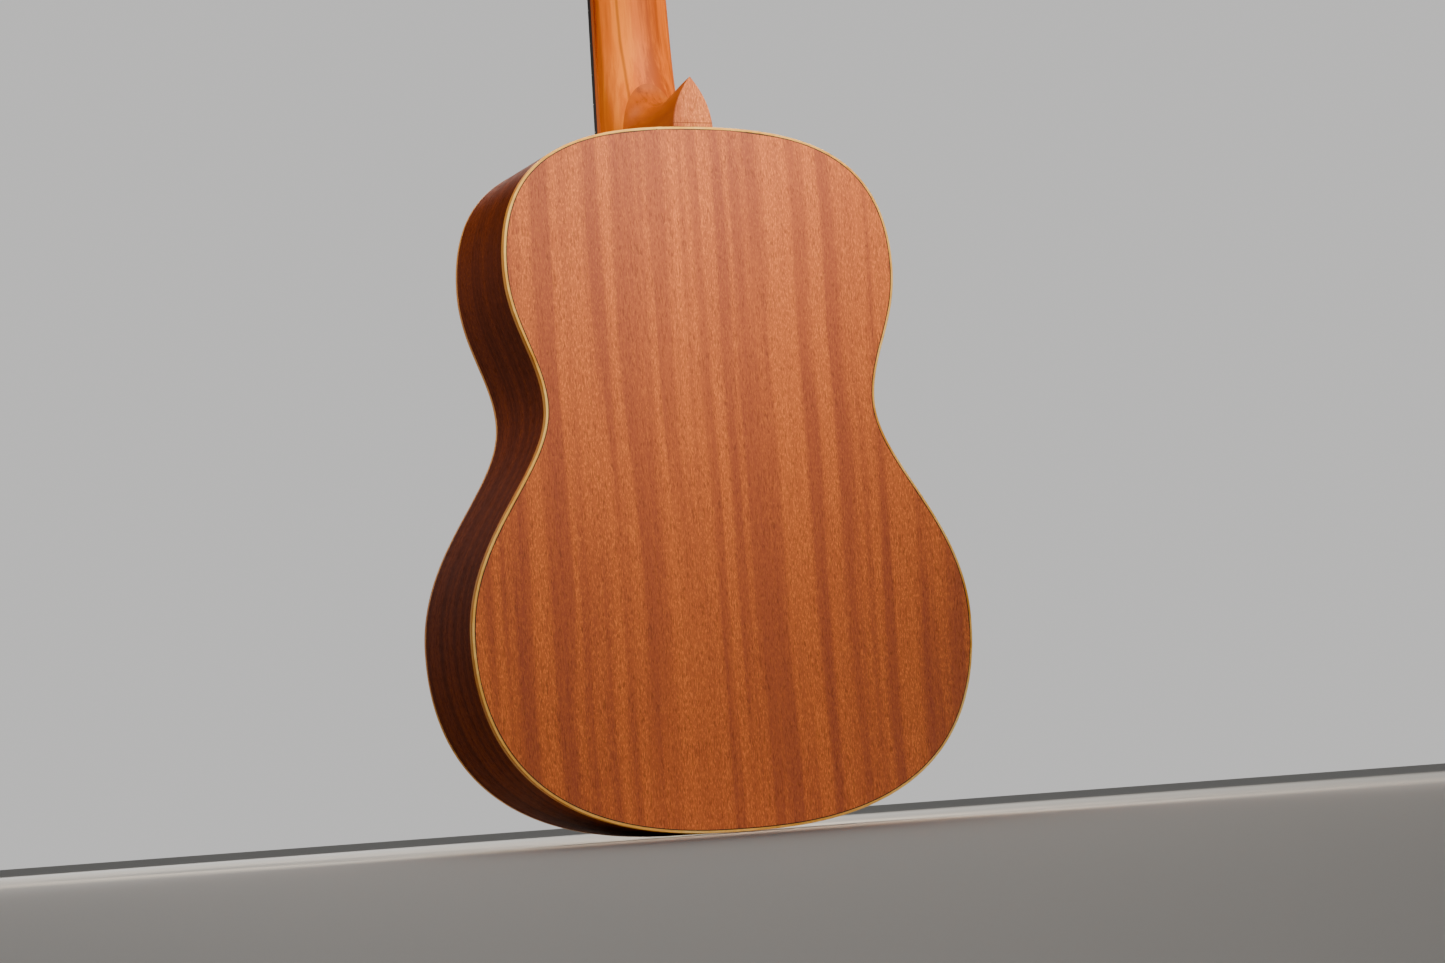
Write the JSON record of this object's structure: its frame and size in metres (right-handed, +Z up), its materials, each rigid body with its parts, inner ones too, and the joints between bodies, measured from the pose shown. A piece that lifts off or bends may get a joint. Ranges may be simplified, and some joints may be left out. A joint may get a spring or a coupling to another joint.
{
  "type": "classical acoustic guitar",
  "caption": "Nylon-string classical acoustic guitar with a cutaway-free waisted body, carved neck and heel, slotted headstock and geared tuning machines.",
  "frame": {"origin": "middle of the tail end of the body, half way through its depth, where a stand's cradle takes the weight", "axes": "+Z up the neck, +X towards the treble side, +Y from the soundboard to the back"},
  "size_m": [0.3726, 0.1177, 0.9983],
  "materials": {
    "sapele": "gloss varnish, ribbon-striped",
    "binding_wood": "gloss varnish",
    "purfling_dark": "gloss varnish",
    "top_wood": "gloss varnish, fine straight grain",
    "rosette_inlay": "gloss varnish, mosaic rings",
    "neck_wood": "gloss varnish",
    "inner_wood": "raw, sanded",
    "dark_wood": "satin, oiled",
    "bone": "polished",
    "fret_metal": "polished",
    "tuner_metal": "polished",
    "button_pearl": "pearl gloss",
    "roller_white": "satin",
    "strings_wound": "silver-plated winding",
    "strings_nylon": "clear nylon"
  },
  "bodies": {
    "guitar": {"back_bass": "sapele", "back_binding": "binding_wood", "back_braces": "inner_wood", "back_linings": "inner_wood", "back_purfling": "purfling_dark", "back_treble": "sapele", "bridge": "dark_wood", "end_block": "inner_wood", "end_graft": "sapele", "fan_struts": "inner_wood", "fingerboard": "dark_wood", "frets": "fret_metal", "harmonic_bars": "inner_wood", "head_veneer": "dark_wood", "headstock": "neck_wood", "heel": "neck_wood", "heel_cap": "sapele", "neck_block": "inner_wood", "neck_shaft": "neck_wood", "nut": "bone", "plate_screws": "tuner_metal", "rosette": "rosette_inlay", "saddle": "bone", "seam_strips": "inner_wood", "side_bass": "sapele", "side_treble": "sapele", "soundboard_bass": "top_wood", "soundboard_treble": "top_wood", "strings_bass": "strings_wound", "strings_treble": "strings_nylon", "tie_block_trim": "bone", "top_binding": "binding_wood", "top_linings": "inner_wood", "top_purfling": "purfling_dark", "tuner_plate_bass": "tuner_metal", "tuner_plate_treble": "tuner_metal"},
    "tuner_knob_1": {"worm_shaft_1": "tuner_metal", "button_1": "button_pearl"},
    "roller_1": {"gear_1": "tuner_metal", "string_roller_1": "roller_white"},
    "tuner_knob_2": {"worm_shaft_2": "tuner_metal", "button_2": "button_pearl"},
    "roller_2": {"gear_2": "tuner_metal", "string_roller_2": "roller_white"},
    "tuner_knob_3": {"worm_shaft_3": "tuner_metal", "button_3": "button_pearl"},
    "roller_3": {"gear_3": "tuner_metal", "string_roller_3": "roller_white"},
    "tuner_knob_4": {"worm_shaft_4": "tuner_metal", "button_4": "button_pearl"},
    "roller_4": {"gear_4": "tuner_metal", "string_roller_4": "roller_white"},
    "tuner_knob_5": {"worm_shaft_5": "tuner_metal", "button_5": "button_pearl"},
    "roller_5": {"gear_5": "tuner_metal", "string_roller_5": "roller_white"},
    "tuner_knob_6": {"worm_shaft_6": "tuner_metal", "button_6": "button_pearl"},
    "roller_6": {"gear_6": "tuner_metal", "string_roller_6": "roller_white"}
  },
  "joints": [
    {"name": "knob_turn_1", "type": "hinge", "parent": "guitar", "child": "tuner_knob_1", "pos_m": [0.0393, -0.03179, 0.86832], "axis": [0, -0.9659, 0.2588], "continuous": true},
    {"name": "roller_turn_1", "type": "hinge", "parent": "guitar", "child": "roller_1", "pos_m": [0.0393, -0.03408, 0.85978], "axis": [1, 0, 0], "continuous": true},
    {"name": "knob_turn_2", "type": "hinge", "parent": "guitar", "child": "tuner_knob_2", "pos_m": [0.0393, -0.02169, 0.90599], "axis": [0, -0.9659, 0.2588], "continuous": true},
    {"name": "roller_turn_2", "type": "hinge", "parent": "guitar", "child": "roller_2", "pos_m": [0.0393, -0.02398, 0.89746], "axis": [1, 0, 0], "continuous": true},
    {"name": "knob_turn_3", "type": "hinge", "parent": "guitar", "child": "tuner_knob_3", "pos_m": [0.0393, -0.0116, 0.94366], "axis": [0, -0.9659, 0.2588], "continuous": true},
    {"name": "roller_turn_3", "type": "hinge", "parent": "guitar", "child": "roller_3", "pos_m": [0.0393, -0.01389, 0.93513], "axis": [1, 0, 0], "continuous": true},
    {"name": "knob_turn_4", "type": "hinge", "parent": "guitar", "child": "tuner_knob_4", "pos_m": [-0.0393, -0.0116, 0.94366], "axis": [0, -0.9659, 0.2588], "continuous": true},
    {"name": "roller_turn_4", "type": "hinge", "parent": "guitar", "child": "roller_4", "pos_m": [-0.0393, -0.01389, 0.93513], "axis": [1, 0, 0], "continuous": true},
    {"name": "knob_turn_5", "type": "hinge", "parent": "guitar", "child": "tuner_knob_5", "pos_m": [-0.0393, -0.02169, 0.90599], "axis": [0, -0.9659, 0.2588], "continuous": true},
    {"name": "roller_turn_5", "type": "hinge", "parent": "guitar", "child": "roller_5", "pos_m": [-0.0393, -0.02398, 0.89746], "axis": [1, 0, 0], "continuous": true},
    {"name": "knob_turn_6", "type": "hinge", "parent": "guitar", "child": "tuner_knob_6", "pos_m": [-0.0393, -0.03179, 0.86832], "axis": [0, -0.9659, 0.2588], "continuous": true},
    {"name": "roller_turn_6", "type": "hinge", "parent": "guitar", "child": "roller_6", "pos_m": [-0.0393, -0.03408, 0.85978], "axis": [1, 0, 0], "continuous": true}
  ],
  "couplings": [
    {"joint": "roller_turn_1", "follows": "knob_turn_1", "ratio": -0.071429},
    {"joint": "roller_turn_2", "follows": "knob_turn_2", "ratio": -0.071429},
    {"joint": "roller_turn_3", "follows": "knob_turn_3", "ratio": -0.071429},
    {"joint": "roller_turn_4", "follows": "knob_turn_4", "ratio": 0.071429},
    {"joint": "roller_turn_5", "follows": "knob_turn_5", "ratio": 0.071429},
    {"joint": "roller_turn_6", "follows": "knob_turn_6", "ratio": 0.071429}
  ]
}
